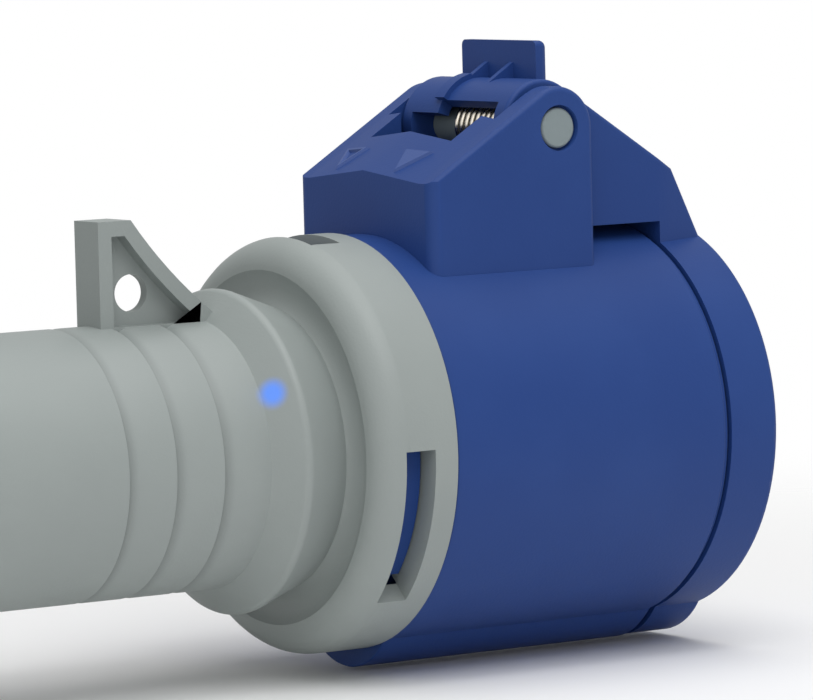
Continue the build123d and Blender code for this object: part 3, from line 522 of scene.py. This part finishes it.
# %% Slope marks
block_mesh = frame["nodes"]["hinge_block"].data
block_tree = BVHTree.FromPolygons(
    [vertex.co for vertex in block_mesh.vertices],
    [face.vertices for face in block_mesh.polygons],
)
above_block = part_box("hinge_block")[1].z + 1 * MM
mark_height, mark_root, mark_slant, rim_width = 0.35, 0.1, 0.3, 0.95


def raised_triangle(name, corners, rim=None):
    """A low triangle with sloping sides on the hinge block, filled or with a rim only."""
    feet = [
        block_tree.ray_cast((x * MM, y * MM, above_block), (0, 0, -1))[0] for x, y in corners
    ]
    sides = [(feet[k - 1] - feet[k - 2]).length for k in range(3)]
    middle = sum((foot * side for foot, side in zip(feet, sides)), Vector()) / sum(sides)
    face_normal = (feet[1] - feet[0]).cross(feet[2] - feet[0])
    inner_radius = face_normal.length / sum(sides)
    upward = face_normal.normalized() * (1 if face_normal.z > 0 else -1)
    mesh = bpy.data.meshes.new(name)
    work = bmesh.new()

    def loop(inset, rise):
        share = inset * MM / inner_radius
        return [
            work.verts.new(foot.lerp(middle, share) + upward * rise * MM) for foot in feet
        ]

    loops = [loop(0, -mark_root), loop(mark_slant, mark_height)]
    if rim:
        loops += [loop(rim - mark_slant, mark_height), loop(rim, -mark_root)]
    else:
        work.faces.new(loops[-1])
    for low_loop, high_loop in zip(loops, loops[1:]):
        for k in range(3):
            work.faces.new([low_loop[k - 1], low_loop[k], high_loop[k], high_loop[k - 1]])
    bmesh.ops.recalc_face_normals(work, faces=work.faces)
    work.to_mesh(mesh)
    work.free()
    mesh.materials.append(mark_painted_sheen.material)
    piece = bpy.data.objects.new(name, mesh)
    bpy.context.scene.collection.objects.link(piece)
    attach(piece, "front")
    print(name, len(mesh.polygons), "faces")


raised_triangle("mark_open", [(-38.0, 7.9), (-33.3, 11.6), (-33.6, 5.6)], rim=rim_width)
raised_triangle("mark_closed", [(-38.2, -6.2), (-34.0, -3.4), (-33.4, -9.2)])

# %% [markdown]
# ## Floor
#
# The portrait is taken in a light tent, white all round. The floor is pale and only shows by the
# soft shadow that it keeps under the connector. It fades out with the distance, so that no
# horizon line crosses the picture.

# %% Floor
low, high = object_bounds()
floor_z = low[2] - 0.5 * MM
reach = 3.0
fade_start, fade_end = 0.09, 0.30
floor_mesh = bpy.data.meshes.new("floor")
floor_mesh.from_pydata(
    [
        (-reach, -reach, floor_z), (reach, -reach, floor_z),
        (reach, reach, floor_z), (-reach, reach, floor_z),
    ],
    [], [(0, 1, 2, 3)],
)
floor = bpy.data.objects.new("floor", floor_mesh)
bpy.context.scene.collection.objects.link(floor)
floor_finish = Shader("floor_paint", (0.93, 0.93, 0.93), Roughness=0.7)
away = floor_finish.distance((-0.055, 0.0, floor_z))
floor_finish.into("Alpha", 1 - floor_finish.step(away, fade_start, fade_end))
floor_mesh.materials.append(floor_finish.material)
print("floor at height", round(floor_z / MM, 1), "mm")

# %% [markdown]
# ## Lamps
#
# Five broad, soft lamps make the even light of a product photograph. The key lamp stands in front
# and above and the top lamp straight above, and they do most of the work. Three weaker ones open
# the shadows from the left, the front and the mouth's side. Their strengths were found by fitting
# the picture's brightness at some thirty places to the photograph's.


# %% Lamps
def soft_lamp(name, place, target, size, watts):
    """A square soft lamp that faces a target."""
    light = bpy.data.lights.new(name, "AREA")
    light.shape = "RECTANGLE"
    light.size, light.size_y = size
    light.energy = watts
    lamp = bpy.data.objects.new(name, light)
    bpy.context.scene.collection.objects.link(lamp)
    lamp.location = place
    lamp.rotation_euler = (Vector(target) - Vector(place)).to_track_quat("-Z", "Y").to_euler()
    print(name, "lamp", watts, "W")


middle = (Vector(low) + Vector(high)) / 2
mouth = Vector((0, 0, 0))
soft_lamp("key", (-0.1, -0.4, 0.6), middle, (0.5, 0.5), 2.3)
soft_lamp("top", (0.0, 0.0, 0.7), middle, (0.7, 0.7), 2.4)
soft_lamp("left", (-0.6, -0.3, 0.2), middle, (0.6, 0.5), 0.6)
soft_lamp("front", (-0.35, -0.75, 0.1), middle, (0.6, 0.5), 0.5)
soft_lamp("right", (0.6, -0.35, 0.02), mouth, (0.5, 0.5), 0.4)

# %% [markdown]
# ## The tent
#
# The tent's cloth is the world. It gives a low, even light to dull surfaces, looks a little
# brighter where a glossy one mirrors it, and is plain white to the camera. The Light Path node
# tells the three apart.

# %% World
cloth_light, mirrored_cloth = 0.36, 0.6
world = bpy.data.worlds.new("tent")
bpy.context.scene.world = world
world.use_nodes = True
tent = world.node_tree
backdrop = tent.nodes["Background"]
light_path = tent.nodes.new("ShaderNodeLightPath")
mirrored = tent.nodes.new("ShaderNodeMapRange")
tent.links.new(light_path.outputs["Is Glossy Ray"], mirrored.inputs["Value"])
mirrored.inputs["To Min"].default_value = cloth_light
mirrored.inputs["To Max"].default_value = mirrored_cloth
looked_at = tent.nodes.new("ShaderNodeMath")
looked_at.operation = "MAXIMUM"
tent.links.new(light_path.outputs["Is Camera Ray"], looked_at.inputs[0])
tent.links.new(mirrored.outputs[0], looked_at.inputs[1])
tent.links.new(looked_at.outputs[0], backdrop.inputs["Strength"])
backdrop.inputs["Color"].default_value = (1, 1, 1, 1)
print("tent light", cloth_light, "mirrored", mirrored_cloth)

# %% [markdown]
# ## Camera
#
# The photograph was taken from behind and to the left of the lid with a long lens, a little above
# the axis. The angles, the distance and the pixel in which the origin is seen come from a fit to
# edges whose real size is known. The camera is moved sideways and not turned to put the origin on
# its pixel, because a turn would change the perspective.

# %% Camera
image_width, image_height = 813, 700
azimuth, elevation, roll = radians(-34.17), radians(4.78), radians(-1.5)
focal_pixels = 6018.0
distance = 824.7 * MM
origin_pixel = (604.8, 416.4)
sensor_width = 36.0

back = Vector((sin(azimuth) * cos(elevation), -cos(azimuth) * cos(elevation), sin(elevation)))
level = Vector((cos(azimuth), sin(azimuth), 0))
upright = back.cross(level)
right = cos(roll) * level + sin(roll) * upright
up = -sin(roll) * level + cos(roll) * upright
shift_right = (origin_pixel[0] - image_width / 2) * distance / focal_pixels
shift_down = (origin_pixel[1] - image_height / 2) * distance / focal_pixels

camera_data = bpy.data.cameras.new("camera")
camera_data.sensor_width = sensor_width
camera_data.lens = focal_pixels / image_width * sensor_width
camera = bpy.data.objects.new("camera", camera_data)
bpy.context.scene.collection.objects.link(camera)
place = distance * back - shift_right * right + shift_down * up
turned = Matrix((right, up, back)).transposed().to_4x4()
camera.matrix_world = Matrix.Translation(place) @ turned
bpy.context.scene.camera = camera
bpy.context.scene.view_settings.view_transform = "Standard"
print("lens", round(camera_data.lens, 1), "mm")
